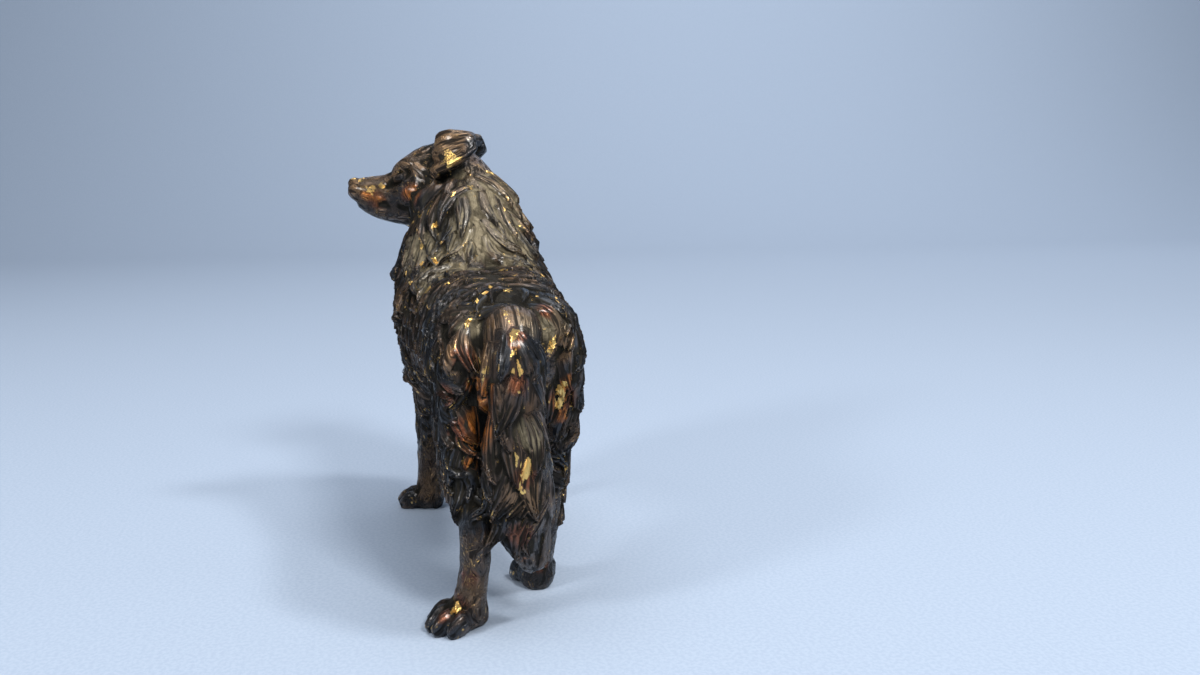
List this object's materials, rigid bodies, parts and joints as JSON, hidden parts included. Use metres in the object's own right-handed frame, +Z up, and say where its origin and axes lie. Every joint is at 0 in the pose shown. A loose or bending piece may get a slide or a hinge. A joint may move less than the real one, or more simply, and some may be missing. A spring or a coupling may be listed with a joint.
{
  "type": "dog statuette",
  "caption": "Small cast bronze figure of a standing long-coated shepherd dog, head turned to its left, tail hanging, on its four flat soles.",
  "frame": {"origin": "on the plane of the soles, below the middle of the figure's length and width", "axes": "+X the way the trunk points, +Y the dog's left, the side its head is turned to, +Z up"},
  "size_m": [0.0976, 0.0464, 0.0938],
  "materials": {
    "patinated_bronze": "dark brown to blue-black patina with dusty recesses, worn to bright bronze on the high points"
  },
  "bodies": {
    "root": {"dog_figure": "patinated_bronze"}
  },
  "joints": []
}
